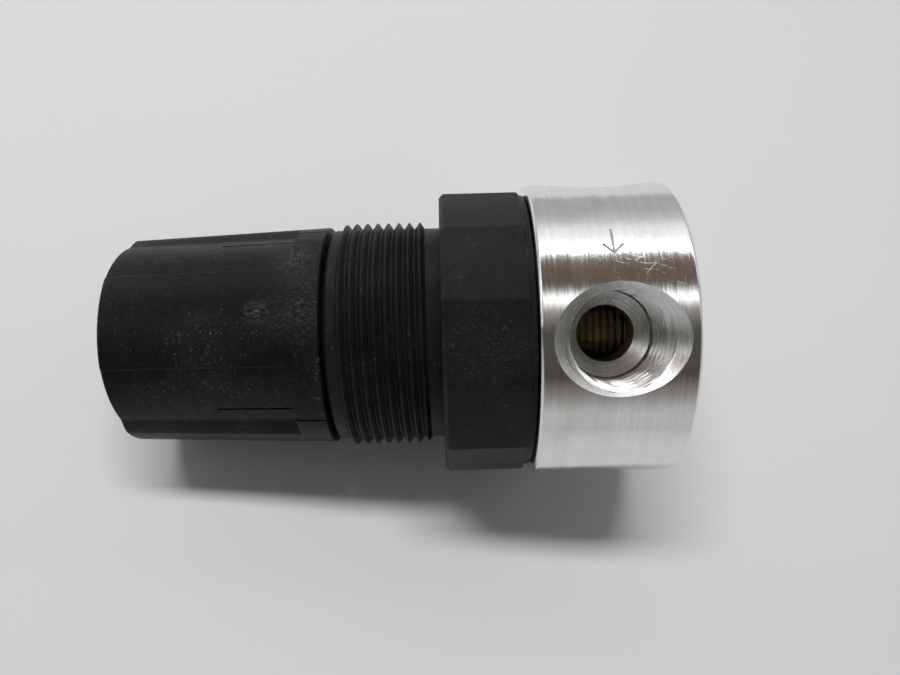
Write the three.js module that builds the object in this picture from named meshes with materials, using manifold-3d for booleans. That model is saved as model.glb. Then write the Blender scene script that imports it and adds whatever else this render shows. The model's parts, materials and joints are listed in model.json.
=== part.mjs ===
// Miniature in-line air pressure regulator: machined aluminium body, moulded
// bonnet with a panel thread, snap-on hand knob.  Millimetres, +Z up along the
// knob's axis, origin at the centre of the body's flat bottom face.
// The inlet port faces -Y, the outlet +Y, the two gauge ports +X and -X.
import * as THREE from 'three';
import { mergeVertices } from 'three/addons/utils/BufferGeometryUtils.js';
import Module from 'manifold-3d';

// ---------- driving dimensions (mm) ----------
const BODY_R = 20.65;          // aluminium bar, 41.3 mm across
const BODY_H = 19.2;           // height of the aluminium shoulder
const NECK_R = 16.6;           // body neck that the bonnet screws over
const NECK_TOP = 24.2;
const CHAMBER_R = 13.6;        // space under the diaphragm
const CHAMBER_Z = 17.7;
const PORT_Z = 9.5;            // height of all four ports
const PORT_MOUTH_R = 8.19;     // countersink on the body's surface
const PORT_R = 6.64;           // thread mouth
const PORT_TIP_R = 5.80;       // end of the tapered thread
const PORT_END = 11.45;        // distance of the thread's end from the axis
const DRILL_R = 3.80;          // tap drill's pilot hole
const COLLAR_R = 20.0;         // twelve-sided collar, over its corners
const COLLAR_Z0 = 20.1, COLLAR_Z1 = 31.0;
const LIP_R = 19.3;            // round lip under the collar
const PANEL_ROOT_R = 15.0;     // panel thread
const PANEL_CREST_R = 15.85;
const PANEL_PITCH = 1.489;
const PANEL_Z0 = 33.60;        // lowest crest
const PANEL_CRESTS = 8;
const BONNET_SHOULDER_Z = 45.9;
const KNOB_Z0 = 46.5, KNOB_Z1 = 74.75;
const SKIRT_Z = 50.5;          // top of the knob's plain skirt ring
const KNOB_LOBE_AZ = -75.5;    // azimuth of the front lobe's middle, degrees
const SCREW_PITCH = 1.25;      // adjusting screw

const wasm = await Module();
wasm.setup();
const D2R = Math.PI / 180;
const group = new THREE.Group();
group.name = 'air_pressure_regulator';


// ---------- helpers ----------
function clean(geo) {
  const g = geo.clone();
  for (const k of Object.keys(g.attributes)) if (k !== 'position') g.deleteAttribute(k);
  const m = mergeVertices(g, 1e-5);
  const idx = [];
  const a = m.index.array;
  for (let i = 0; i < a.length; i += 3) {
    if (a[i] !== a[i + 1] && a[i + 1] !== a[i + 2] && a[i] !== a[i + 2]) idx.push(a[i], a[i + 1], a[i + 2]);
  }
  const p = m.attributes.position;
  let vol = 0;
  const v = [new THREE.Vector3(), new THREE.Vector3(), new THREE.Vector3()];
  for (let i = 0; i < idx.length; i += 3) {
    for (let j = 0; j < 3; j++) v[j].fromBufferAttribute(p, idx[i + j]);
    vol += v[0].dot(v[1].clone().cross(v[2]));
  }
  if (vol < 0) for (let i = 0; i < idx.length; i += 3) { const t = idx[i]; idx[i] = idx[i + 1]; idx[i + 1] = t; }
  m.setIndex(idx);
  return m;
}
function solid(geo) {
  const m = clean(geo);
  return new wasm.Manifold(new wasm.Mesh({
    numProp: 3,
    vertProperties: new Float32Array(m.attributes.position.array),
    triVerts: new Uint32Array(m.index.array),
  }));
}
function toGeo(man) {
  const mesh = man.getMesh();
  const n = mesh.numProp, src = mesh.vertProperties;
  const pos = new Float32Array((src.length / n) * 3);
  for (let i = 0; i < src.length / n; i++) for (let j = 0; j < 3; j++) pos[i * 3 + j] = src[i * n + j];
  const g = new THREE.BufferGeometry();
  g.setAttribute('position', new THREE.BufferAttribute(pos, 3));
  g.setIndex(Array.from(mesh.triVerts));
  return g;
}
// solid of revolution about Z from [radius, z] pairs, closed through the axis or on itself
function lathe(pts, seg = 32) {
  const p = pts.map(([r, z]) => new THREE.Vector2(r, z));
  const onAxis = pts[0][0] === 0 && pts[pts.length - 1][0] === 0;
  if (!onAxis) p.push(p[0].clone());
  const g = new THREE.LatheGeometry(p, seg);
  g.rotateX(Math.PI / 2);
  return solid(g);
}
const rod = (r, z0, z1, seg = 32) => lathe([[0, z0], [r, z0], [r, z1], [0, z1]], seg);
const ring = (ri, ro, z0, z1, seg = 36) => lathe([[ri, z0], [ro, z0], [ro, z1], [ri, z1]], seg);
function prism(n, af, z0, z1, turn = 0) {
  const g = new THREE.CylinderGeometry(af / 2 / Math.cos(Math.PI / n), af / 2 / Math.cos(Math.PI / n), z1 - z0, n, 1);
  g.rotateX(Math.PI / 2);
  g.rotateZ(turn);
  g.translate(0, 0, (z0 + z1) / 2);
  return solid(g);
}
function box(x0, x1, y0, y1, z0, z1, az = 0) {
  const g = new THREE.BoxGeometry(x1 - x0, y1 - y0, z1 - z0);
  g.translate((x0 + x1) / 2, (y0 + y1) / 2, (z0 + z1) / 2);
  g.rotateZ(az * D2R);
  return solid(g);
}
// revolved tool laid along a horizontal port axis: [radius, distance from the Z axis]
function portTool(pts, az, seg = 36, z = PORT_Z) {
  const p = pts.map(([r, d]) => new THREE.Vector2(r, d));
  const g = new THREE.LatheGeometry(p, seg);
  g.rotateX(Math.PI / 2);      // along Z
  g.rotateY(Math.PI / 2);      // along X
  g.rotateZ(az * D2R);
  g.translate(0, 0, z);
  return solid(g);
}
class Helix extends THREE.Curve {
  constructor(r, z0, z1, turns) { super(); Object.assign(this, { r, z0, z1, turns }); }
  getPoint(t, o = new THREE.Vector3()) {
    const a = t * this.turns * 2 * Math.PI;
    // closed end coils: the first and last three quarters of a turn rise slowly
    const q = 0.75 / this.turns, L = this.z1 - this.z0, e = this.end;
    let z;
    if (t < q) z = e * (t / q);
    else if (t > 1 - q) z = L - e * ((1 - t) / q);
    else z = e + (L - 2 * e) * (t - q) / (1 - 2 * q);
    return o.set(this.r * Math.cos(a), this.r * Math.sin(a), this.z0 + z);
  }
}
function spring(rMean, wire, z0, z1, turns, steps) {
  const c = new Helix(rMean, z0 + wire / 2, z1 - wire / 2, turns);
  c.end = wire * 0.95;
  const s = new THREE.Shape();
  const n = 6;
  for (let i = 0; i < n; i++) {
    const a = (i + 0.5) / n * 2 * Math.PI, k = wire / 2;
    if (i === 0) s.moveTo(k * Math.cos(a), k * Math.sin(a)); else s.lineTo(k * Math.cos(a), k * Math.sin(a));
  }
  s.closePath();
  const g = new THREE.ExtrudeGeometry(s, { steps, bevelEnabled: false, extrudePath: c });
  return solid(g);
}
function torus(R, r, z, seg = 32, n = 8) {
  const pts = [];
  for (let i = 0; i < n; i++) { const a = i / n * 2 * Math.PI; pts.push([R + r * Math.cos(a), z + r * Math.sin(a)]); }
  return lathe(pts, seg);
}
const union = (list) => list.reduce((a, b) => a.add(b));
function node(name, man, color, metalness, roughness) {
  const mat = new THREE.MeshStandardMaterial({ color, metalness, roughness, name: name + '_mat' });
  const g = toGeo(man).toNonIndexed();
  g.computeVertexNormals();
  const mesh = new THREE.Mesh(g, mat);
  mesh.name = name;
  group.add(mesh);

}
const ALU = 0xb9bbbd, BLACK = 0x1c1c1d, BRASS = 0xb08d45, STEEL = 0x8f9296, ZINC = 0xa7a9a6, RUBBER = 0x141414, ACETAL = 0xd8d6cc;

// ---------- body ----------
// turned bar: shoulder, neck for the bonnet, diaphragm chamber, central valve bore
{
  let b = lathe([
    [8.0, 0], [BODY_R - 0.35, 0], [BODY_R, 0.35], [BODY_R, BODY_H - 0.5], [BODY_R - 0.5, BODY_H],
    [NECK_R, BODY_H], [NECK_R, NECK_TOP - 0.4], [NECK_R - 0.4, NECK_TOP], [CHAMBER_R, NECK_TOP],
    [CHAMBER_R, CHAMBER_Z], [2.6, CHAMBER_Z], [2.6, 14.6], [6.6, 14.6], [6.6, 4.8], [8.0, 4.8],
  ], 60);
  const port = [[0, 26], [PORT_MOUTH_R + 5.35, 26], [PORT_R, BODY_R - (PORT_MOUTH_R - PORT_R)],
    [PORT_TIP_R, PORT_END], [DRILL_R, 10.3], [0, 10.3]];
  for (const az of [-90, 90, 0, 180]) b = b.subtract(portTool(port, az));
  // inlet pilot hole runs on into the valve bore
  b = b.subtract(portTool([[0, 10.5], [DRILL_R, 10.5], [DRILL_R, 4.0], [0, 4.0]], -90, 32));
  // outlet and gauge ports reach the chamber through upright passages
  const passage = (x, y, r) => { const g = new THREE.CylinderGeometry(r, r, 12, 16); g.rotateX(Math.PI / 2); g.translate(x, y, PORT_Z + 6); return solid(g); };
  b = b.subtract(passage(0, 11.3, 1.9)).subtract(passage(11.3, 0, 1.3)).subtract(passage(-11.3, 0, 1.3));
  // shallow flow arrow cut beside the inlet, pointing round toward it
  const s = new THREE.Shape();
  [[-1.9, 0.45], [0.1, 0.45], [0.1, 1.25], [1.9, 0], [0.1, -1.25], [0.1, -0.45], [-1.9, -0.45]].forEach(([x, y], i) => i ? s.lineTo(x, y) : s.moveTo(x, y));
  s.closePath();
  const a = new THREE.ExtrudeGeometry(s, { depth: 1.0, bevelEnabled: false });
  // shape x -> tangential (toward the inlet), shape y -> up, depth -> outward
  const m = new THREE.Matrix4();
  const az = -55.7 * D2R, out = new THREE.Vector3(Math.cos(az), Math.sin(az), 0);
  const tan = new THREE.Vector3(Math.sin(az), -Math.cos(az), 0);
  m.makeBasis(tan, new THREE.Vector3(0, 0, 1), out.clone());
  if (m.determinant() < 0) m.makeBasis(tan, new THREE.Vector3(0, 0, -1), out.clone());
  a.applyMatrix4(m);
  a.translate(out.x * (BODY_R - 0.28), out.y * (BODY_R - 0.28), PORT_Z);
  b = b.subtract(solid(a));
  node('body', b, ALU, 1.0, 0.3);
}

// ---------- valve ----------
// brass cartridge round the poppet, grooved outside, four flow windows
{
  const pts = [[5.3, 4.9], [6.25, 4.9]];
  for (let i = 0; i < 8; i++) { const z = 5.4 + i * 1.0; pts.push([6.25, z], [5.95, z + 0.5]); }
  pts.push([6.25, 13.9], [5.3, 13.9]);
  let c = lathe(pts, 28);
  for (const az of [45, 135, 225, 315]) c = c.subtract(portTool([[0, 4.5], [1.6, 4.5], [1.6, 7.5], [0, 7.5]], az, 16, 9.5));
  node('valve_cartridge', c, BRASS, 1.0, 0.35);
}
node('valve_seat', lathe([[2.1, 14.55], [2.1, 13.75], [2.9, 13.75], [3.3, 14.1], [6.2, 14.1], [6.2, 14.5], [2.5, 14.5], [2.5, 14.55]], 40), BRASS, 1.0, 0.3);
// poppet: guide stem, spring shoulder and a cup for the rubber disc
node('valve_poppet', lathe([[0, 3.5], [1.7, 3.5], [2.0, 3.8], [2.0, 9.4], [4.6, 9.4], [4.6, 12.4], [4.25, 12.4], [4.25, 11.0], [1.3, 11.0], [1.3, 10.2], [0, 10.2]], 36), BRASS, 1.0, 0.35);
node('valve_disc', ring(1.3, 3.95, 11.3, 13.4, 36), RUBBER, 0.0, 0.8);
node('valve_pin', lathe([[0, 10.5], [0.95, 10.5], [0.95, 20.8], [0.6, 21.3], [0, 21.3]], 20), STEEL, 1.0, 0.25);
node('valve_spring', spring(3.35, 0.7, 5.0, 9.1, 3.6, 58), STEEL, 1.0, 0.3);
// threaded plug that closes the valve bore from below
{
  let p = lathe([[0, 0.3], [7.2, 0.3], [7.7, 0.8], [7.7, 2.3], [6.3, 2.3], [6.3, 4.0], [7.7, 4.0], [7.7, 4.5], [2.3, 4.5], [2.3, 2.4], [0, 2.4]], 36);
  p = p.subtract(box(-9, 9, -0.8, 0.8, 0, 1.4, 0));
  node('bottom_plug', p, ALU, 1.0, 0.35);
}
node('plug_o_ring', torus(7.06, 0.6, 3.15, 32, 8), RUBBER, 0.0, 0.7);
// taper plug in the gauge port on the -X side, hexagon socket
{
  let p = portTool([[0, 12.6], [5.55, 12.6], [6.2, 19.2], [5.9, 19.6], [0, 19.6]], 180, 40);
  const h = new THREE.CylinderGeometry(3.6, 3.6, 5.2, 6, 1);
  h.rotateZ(Math.PI / 2); h.translate(-18.2, 0, PORT_Z);
  p = p.subtract(solid(h));
  node('gauge_port_plug', p, BRASS, 1.0, 0.4);
}

// ---------- diaphragm assembly ----------
// moulded rubber diaphragm: flat rim, one rolled convolution, flat middle
node('diaphragm', lathe([
  [3.4, 24.4], [9.9, 24.4], [10.4, 23.6], [11.2, 23.1], [12.0, 23.2], [12.6, 23.7], [13.2, 24.4], [16.3, 24.4],
  [16.3, 25.1], [12.9, 25.1], [12.2, 24.4], [11.6, 23.9], [11.1, 24.0], [10.6, 24.5], [10.2, 25.1], [3.4, 25.1],
], 40), RUBBER, 0.0, 0.75);
node('slip_ring', ring(13.3, 16.2, 25.2, 25.6, 64), ACETAL, 0.0, 0.5);
node('relief_hub', lathe([[0.8, 21.6], [2.3, 21.6], [2.8, 22.3], [8.8, 22.3], [9.1, 22.7], [9.1, 24.1], [3.1, 24.1], [3.1, 29.6], [0.8, 29.6]], 40), BRASS, 1.0, 0.35);
node('diaphragm_plate', lathe([[3.4, 25.4], [9.2, 25.4], [10.1, 26.3], [10.1, 28.2], [9.8, 28.5], [9.4, 28.2], [9.4, 26.7], [8.9, 26.4], [3.4, 26.4]], 36), ZINC, 1.0, 0.4);
node('hub_nut', prism(6, 9.6, 26.7, 28.9).subtract(rod(3.35, 26, 30, 32)), ZINC, 1.0, 0.4);

// ---------- pressure-setting parts ----------
node('range_spring', spring(7.7, 1.7, 26.7, 41.6, 4.75, 96), STEEL, 1.0, 0.3);
// adjusting nut, kept from turning by two tabs in the bonnet's grooves
{
  let n = lathe([[4.2, 39.6], [6.3, 39.6], [6.3, 41.9], [10.4, 41.9], [10.7, 42.2], [10.7, 44.6], [10.4, 44.9], [7.5, 44.9], [7.0, 45.9], [4.2, 45.9]], 32);
  const tabs = box(-12.1, 12.1, -1.5, 1.5, 42.3, 44.6).subtract(rod(8, 40, 46, 32));
  node('adjusting_nut', n.add(tabs), ZINC, 1.0, 0.45);
}
// screw: threaded shank, thrust flange, journal and hexagon drive
{
  let s = lathe([[0, 31.5], [3.4, 31.5], [3.9, 32.0], [3.9, 46.6], [6.8, 46.6], [6.8, 47.8], [4.1, 47.8], [4.1, 52.4], [3.3, 52.4], [3.3, 53.3], [4.0, 53.3], [4.0, 54.0], [0, 54.0]], 40);
  s = s.add(prism(6, 7.4, 53.9, 68.0));
  node('adjusting_screw', s, STEEL, 1.0, 0.35);
}
node('thrust_washer', ring(4.5, 7.6, 48.1, 48.6, 40), ACETAL, 0.0, 0.5);
// open retaining clip in the screw's groove
{
  let c = ring(3.6, 6.2, 52.5, 53.2, 28);
  c = c.subtract(box(0, 8, -2.4, 2.4, 52, 54));
  node('screw_clip', c, STEEL, 1.0, 0.35);
}

// ---------- bonnet ----------
{
  const pts = [
    [0, 19.4], [LIP_R, 19.4], [LIP_R, COLLAR_Z0 + 0.6], [PANEL_ROOT_R, COLLAR_Z0 + 0.6],
    // small foot where the neck meets the collar's flat upper face
    [PANEL_ROOT_R, COLLAR_Z1 - 1.0], [15.95, COLLAR_Z1 - 1.0], [15.95, COLLAR_Z1 + 0.02], [PANEL_ROOT_R, COLLAR_Z1 + 0.25],
    [PANEL_ROOT_R, PANEL_Z0 - PANEL_PITCH * 0.5],
  ];
  for (let i = 0; i < PANEL_CRESTS; i++) {
    const z = PANEL_Z0 + i * PANEL_PITCH;
    pts.push([PANEL_CREST_R, z], [PANEL_ROOT_R, z + PANEL_PITCH * 0.5]);
  }
  pts.push([PANEL_ROOT_R, BONNET_SHOULDER_Z - 0.3], [PANEL_ROOT_R - 0.3, BONNET_SHOULDER_Z], [12.3, BONNET_SHOULDER_Z],
    [12.3, 47.2], [11.8, 47.6], [11.8, 48.6], [12.3, 49.0], [12.3, 51.6], [11.9, 52.0], [0, 52.0]);
  let b = lathe(pts, 48);
  // twelve-sided wrench collar with a bevelled upper edge
  const turn = 15 * D2R;
  const fr = (r0, r1, z0, z1) => { const g = new THREE.CylinderGeometry(r1, r0, z1 - z0, 12, 1); g.rotateX(Math.PI / 2); g.rotateZ(turn); g.translate(0, 0, (z0 + z1) / 2); return solid(g); };
  let collar = fr(COLLAR_R - 0.3, COLLAR_R, COLLAR_Z0, COLLAR_Z0 + 0.3)
    .add(fr(COLLAR_R, COLLAR_R, COLLAR_Z0 + 0.3, COLLAR_Z1 - 0.5))
    .add(fr(COLLAR_R, COLLAR_R - 0.5, COLLAR_Z1 - 0.5, COLLAR_Z1));
  b = b.add(collar);
  // inside: socket over the body's neck, spring bore, journal hole in the top wall
  b = b.subtract(lathe([[0, 19], [16.9, 19], [16.9, 25.9], [11.2, 25.9], [11.2, 48.9], [4.5, 48.9], [4.5, 53], [0, 53]], 40));
  // guide grooves for the adjusting nut's tabs, bleed hole through the collar
  b = b.subtract(box(-12.7, 12.7, -1.85, 1.85, 33.0, 48.9).subtract(rod(8, 30, 50, 32)));
  b = b.subtract(portTool([[0, 9], [0.8, 9], [0.8, 22], [0, 22]], 60, 12, 29.0));
  node('bonnet', b, BLACK, 0.0, 0.6);
}

// ---------- knob ----------
{
  // outside: wide lobes front and back, narrower lobes at the sides, a shallow
  // flute on each side of every lobe; a small step down from the wide lobe, deepening to an
  // easy flank by the narrow one
  const az0 = KNOB_LOBE_AZ;
  const lobeR = (z) => 15.46 - (z - 46.5) * 0.0395;
  const floorR = (z) => 14.28 - (z - 50.5) * 0.0255;
  const depth = (t, z) => {
    t = Math.abs(((t % 180) + 270) % 180 - 90);
    const step = 0.34 - 0.0057 * (z - 50.3);
    if (t <= 24.5) return 0;
    if (t <= 26) return step * (t - 24.5) / 1.5;
    if (t <= 61) return step + (1 - step) * (t - 26) / 35;
    if (t < 72) return (72 - t) / 11;
    return 0;
  };
  const base = [0, 8, 16, 24.5, 26, 33, 40, 47, 54, 61, 66.5, 72, 78, 84, 90];
  const angs = [];
  for (const b of base) angs.push(b);
  for (const b of base.slice(0, -1).reverse()) if (b > 0) angs.push(180 - b);
  const full = angs.concat(angs.map((a) => a + 180));
  const levels = [[50.3, 0], [KNOB_Z1 - 0.45, 0], [KNOB_Z1, 0.45]];
  const pos = [], idx = [];
  for (const [z, inset] of levels) for (const t of full) {
    const d = depth(t, z);
    const r = lobeR(z) * (1 - d) + floorR(z) * d - inset;
    const a = (t + az0) * D2R;
    pos.push(r * Math.cos(a), r * Math.sin(a), z);
  }
  const n = full.length;
  for (let k = 0; k < levels.length - 1; k++) for (let i = 0; i < n; i++) {
    const j = (i + 1) % n, a = k * n + i, b = k * n + j, c = a + n, d = b + n;
    idx.push(a, b, d, a, d, c);
  }
  const c0 = pos.length / 3; pos.push(0, 0, levels[0][0]);
  const c1 = c0 + 1; pos.push(0, 0, KNOB_Z1);
  const top = (levels.length - 1) * n;
  for (let i = 0; i < n; i++) { const j = (i + 1) % n; idx.push(c0, j, i, c1, top + i, top + j); }
  const g = new THREE.BufferGeometry();
  g.setAttribute('position', new THREE.BufferAttribute(new Float32Array(pos), 3));
  g.setIndex(idx);
  let k = solid(g);
  k = k.add(lathe([[0, KNOB_Z0], [15.3, KNOB_Z0], [15.46, KNOB_Z0 + 0.16], [15.36, SKIRT_Z - 0.1], [15.26, SKIRT_Z], [0, SKIRT_Z]], 60));
  // hollow inside, with a small snap bead near the mouth
  k = k.subtract(lathe([[0, 46], [12.9, 46], [12.9, 47.7], [12.65, 47.9], [12.65, 48.3], [12.9, 48.5], [12.9, 52.0], [12.4, 53.5], [12.0, 72.4], [0, 72.4]], 40));
  // central hub with the hexagon socket, four webs
  let hub = lathe([[0, 55.4], [6.6, 55.4], [7.0, 55.8], [7.2, 73], [0, 73]], 40);
  hub = hub.add(box(-12.6, 12.6, -0.6, 0.6, 60.0, 73, az0 + 45)).add(box(-12.6, 12.6, -0.6, 0.6, 60.0, 73, az0 - 45));
  k = k.add(hub).subtract(prism(6, 8.0, 55.0, 70.6));
  // slots that free the two wide snap fingers
  for (const s of [1, -1]) for (const half of [0, 180]) {
    const a1 = az0 + half + s * 51.6, a2 = az0 + half + s * 57.0;
    k = k.subtract(box(12.0, 17, -0.19, 0.19, 50.3, 60.8, a1));
    k = k.subtract(box(12.0, 17, -0.19, 0.19, 46.0, 50.75, a2));
    const m = az0 + half + s * 54.3;
    k = k.subtract(box(12.0, 17, -0.85, 0.85, 50.35, 50.7, m));
  }
  // raised index pip on the front lobe
  const pip = new THREE.Shape();
  const P = [[-2.0, 0], [-1.2, 0.45], [0, 0.75], [1.2, 0.55], [2.0, 0], [1.2, -0.55], [0, -0.75], [-1.2, -0.45]];
  P.forEach(([x, y], i) => i ? pip.lineTo(x, y) : pip.moveTo(x, y));
  pip.closePath();
  const e = new THREE.ExtrudeGeometry(pip, { depth: 1.2, bevelEnabled: false });
  const m4 = new THREE.Matrix4();
  const a = (az0 + 2) * D2R, out = new THREE.Vector3(Math.cos(a), Math.sin(a), 0), tan = new THREE.Vector3(-Math.sin(a), Math.cos(a), 0);
  m4.makeBasis(new THREE.Vector3(0, 0, 1), tan.clone().negate().multiplyScalar(-1), out);
  if (m4.determinant() < 0) m4.makeBasis(new THREE.Vector3(0, 0, 1), tan.clone().negate(), out);
  e.applyMatrix4(m4);
  e.translate(out.x * (lobeR(54.4) - 0.95), out.y * (lobeR(54.4) - 0.95), 54.4);
  k = k.add(solid(e));
  node('knob', k, BLACK, 0.0, 0.6);
}

export default group;
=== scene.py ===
import bpy, bmesh, json, math
import numpy as np
from mathutils import Matrix, Vector

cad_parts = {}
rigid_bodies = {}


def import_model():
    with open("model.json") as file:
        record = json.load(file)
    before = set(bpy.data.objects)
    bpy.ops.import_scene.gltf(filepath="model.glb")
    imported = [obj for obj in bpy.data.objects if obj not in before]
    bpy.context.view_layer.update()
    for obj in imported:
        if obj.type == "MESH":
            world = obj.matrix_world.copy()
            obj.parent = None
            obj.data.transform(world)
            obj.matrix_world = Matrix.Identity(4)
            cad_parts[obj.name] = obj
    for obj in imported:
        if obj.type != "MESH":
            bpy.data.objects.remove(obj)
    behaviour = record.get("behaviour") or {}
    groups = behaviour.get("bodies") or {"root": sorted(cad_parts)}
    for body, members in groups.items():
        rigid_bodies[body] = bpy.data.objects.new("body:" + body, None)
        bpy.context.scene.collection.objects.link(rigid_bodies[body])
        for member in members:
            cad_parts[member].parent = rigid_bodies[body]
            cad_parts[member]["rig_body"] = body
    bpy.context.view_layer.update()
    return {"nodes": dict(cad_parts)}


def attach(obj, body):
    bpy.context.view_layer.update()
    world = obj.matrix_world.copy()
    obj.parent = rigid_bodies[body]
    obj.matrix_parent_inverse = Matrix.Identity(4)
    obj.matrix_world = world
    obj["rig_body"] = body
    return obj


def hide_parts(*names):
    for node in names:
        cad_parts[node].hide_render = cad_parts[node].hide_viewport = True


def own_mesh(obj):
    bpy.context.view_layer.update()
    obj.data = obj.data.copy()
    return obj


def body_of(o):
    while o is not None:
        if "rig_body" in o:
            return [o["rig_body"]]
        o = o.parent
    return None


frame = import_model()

MM = 0.001
K = 1.0325                      # solved view scale to millimetres
scene = bpy.context.scene
scene.view_settings.view_transform = "Standard"
scene.view_settings.look = "None"

# ------------------------------------------------------------------ camera
ROT = math.radians(-72.5305)
Rz = Matrix.Rotation(ROT, 3, "Z")
cam_c = Rz @ Vector((99.17299751, -23.09113187, 29.07974336)) * K * MM
right = Rz @ Vector((-0.00535, -0.02697, -0.99962))
down = Rz @ Vector((-0.21856, -0.97544, 0.02749))
fwd = Rz @ Vector((-0.97581, 0.21863, -0.00068))
cam_data = bpy.data.cameras.new("camera")
cam = bpy.data.objects.new("camera", cam_data)
scene.collection.objects.link(cam)
m = Matrix.Identity(4)
for i in range(3):
    m[i][0], m[i][1], m[i][2], m[i][3] = right[i], -down[i], -fwd[i], cam_c[i]
cam.matrix_world = m
cam_data.sensor_width = 36.0
cam_data.lens = 718.2468 / 900.0 * 36.0
cam_data.clip_start, cam_data.clip_end = 0.005, 20.0
scene.camera = cam
AZ_CAM = math.atan2(cam_c.y, cam_c.x)


# ------------------------------------------------------------------ mesh helpers (millimetres until placed)
def make(name, verts, faces):
    me = bpy.data.meshes.new(name)
    me.from_pydata([tuple(map(float, v)) for v in verts], [], faces)
    me.update()
    ob = bpy.data.objects.new(name, me)
    scene.collection.objects.link(ob)
    return ob


def fillet(pts, n=4):
    """Profile corners [x, y, radius] rounded with short arcs; ends stay put."""
    out = []
    for i, p in enumerate(pts):
        r = p[2] if len(p) > 2 else 0.0
        if r <= 0 or i in (0, len(pts) - 1):
            out.append((p[0], p[1]))
            continue
        a, b, c = np.array(pts[i - 1][:2], float), np.array(p[:2], float), np.array(pts[i + 1][:2], float)
        u, v = a - b, c - b
        lu, lv = np.linalg.norm(u), np.linalg.norm(v)
        u, v = u / lu, v / lv
        ang = math.acos(max(-1, min(1, float(u @ v))))
        if ang > math.radians(178):
            out.append((p[0], p[1]))
            continue
        d = min(r / math.tan(ang / 2), lu * 0.48, lv * 0.48)
        rr = d * math.tan(ang / 2)
        ctr = b + (u + v) / np.linalg.norm(u + v) * (rr / math.sin(ang / 2))
        s, e = b + u * d - ctr, b + v * d - ctr
        a0 = math.atan2(s[1], s[0])
        da = math.atan2(e[1], e[0]) - a0
        while da > math.pi: da -= 2 * math.pi
        while da < -math.pi: da += 2 * math.pi
        for k in range(n + 1):
            t = a0 + da * k / n
            out.append((ctr[0] + rr * math.cos(t), ctr[1] + rr * math.sin(t)))
    return out


def lathe(name, pts, seg=128, phase=0.0):
    """Solid of revolution about Z. The profile starts and ends on the axis, or closes on itself."""
    open_axis = abs(pts[0][0]) < 1e-9 and abs(pts[-1][0]) < 1e-9
    verts, rows = [], []
    for r, z in pts:
        if abs(r) < 1e-9:
            rows.append([len(verts)] * seg)
            verts.append((0, 0, z))
        else:
            rows.append(list(range(len(verts), len(verts) + seg)))
            for k in range(seg):
                a = 2 * math.pi * k / seg + phase
                verts.append((r * math.cos(a), r * math.sin(a), z))
    faces = []
    pairs = list(zip(rows[:-1], rows[1:])) + ([] if open_axis else [(rows[-1], rows[0])])
    for lo, hi in pairs:
        for k in range(seg):
            j = (k + 1) % seg
            q = [lo[k], lo[j], hi[j], hi[k]]
            f = [x for i, x in enumerate(q) if x != q[i - 1]]
            if len(set(f)) >= 3:
                faces.append(f)
    ob = make(name, verts, faces)
    outward(ob)
    return ob


def outward(ob):
    bm = bmesh.new()
    bm.from_mesh(ob.data)
    bmesh.ops.recalc_face_normals(bm, faces=bm.faces)
    if bm.calc_volume(signed=True) < 0:
        bmesh.ops.reverse_faces(bm, faces=bm.faces)
    bm.to_mesh(ob.data)
    bm.free()


def revolve_field(name, zs, seg, rad, cap=True):
    """Closed surface whose radius is rad(angle, z): grid of rings with flat end fans."""
    verts, faces = [], []
    A = np.arange(seg) * 2 * math.pi / seg
    for z in zs:
        r = rad(A, z)
        for a, q in zip(A, r):
            verts.append((q * math.cos(a), q * math.sin(a), z))
    n = len(zs)
    for i in range(n - 1):
        for k in range(seg):
            j = (k + 1) % seg
            faces.append((i * seg + k, i * seg + j, (i + 1) * seg + j, (i + 1) * seg + k))
    faces.append(tuple(reversed(range(seg))))
    faces.append(tuple((n - 1) * seg + k for k in range(seg)))
    ob = make(name, verts, faces)
    outward(ob)
    return ob


def boolean(a, b, op, keep=False):
    md = a.modifiers.new("b", "BOOLEAN")
    md.operation, md.object = op, b
    md.solver = "MANIFOLD"
    dg = bpy.context.evaluated_depsgraph_get()
    me = bpy.data.meshes.new_from_object(a.evaluated_get(dg))
    if len(me.polygons) < 4:
        md.solver = "EXACT"
        dg = bpy.context.evaluated_depsgraph_get()
        me = bpy.data.meshes.new_from_object(a.evaluated_get(dg))
    a.modifiers.clear()
    old = a.data
    a.data = me
    bpy.data.meshes.remove(old)
    if not keep:
        bpy.data.objects.remove(b)
    return a


def place(ob, mat4):
    ob.data.transform(mat4)
    return ob


def boxm(name, x0, x1, y0, y1, z0, z1, az=0.0):
    v = [(x, y, z) for x in (x0, x1) for y in (y0, y1) for z in (z0, z1)]
    f = [(0, 1, 3, 2), (4, 6, 7, 5), (0, 4, 5, 1), (2, 3, 7, 6), (0, 2, 6, 4), (1, 5, 7, 3)]
    ob = make(name, v, f)
    outward(ob)
    place(ob, Matrix.Rotation(math.radians(az), 4, "Z"))
    return ob


def prism(name, outline, depth0, depth1, mat4):
    """Flat outline [(x, y)] extruded along its third axis, then placed."""
    n = len(outline)
    v = [(x, y, depth0) for x, y in outline] + [(x, y, depth1) for x, y in outline]
    f = [tuple(range(n)), tuple(range(n, 2 * n))] + [(i, (i + 1) % n, n + (i + 1) % n, n + i) for i in range(n)]
    ob = make(name, v, f)
    ob.data.transform(mat4)
    outward(ob)
    return ob


def basis(ex, ey, ez, o):
    r = Matrix.Identity(4)
    for i in range(3):
        r[i][0], r[i][1], r[i][2], r[i][3] = ex[i], ey[i], ez[i], o[i]
    return r


def smooth(ob, angle=30.0):
    ob.data.transform(Matrix.Scale(MM, 4))
    ob.data.materials.clear()
    for p in ob.data.polygons:
        p.use_smooth = True
        p.material_index = 0
    ob.data.set_sharp_from_angle(angle=math.radians(angle))
    return ob


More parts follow.
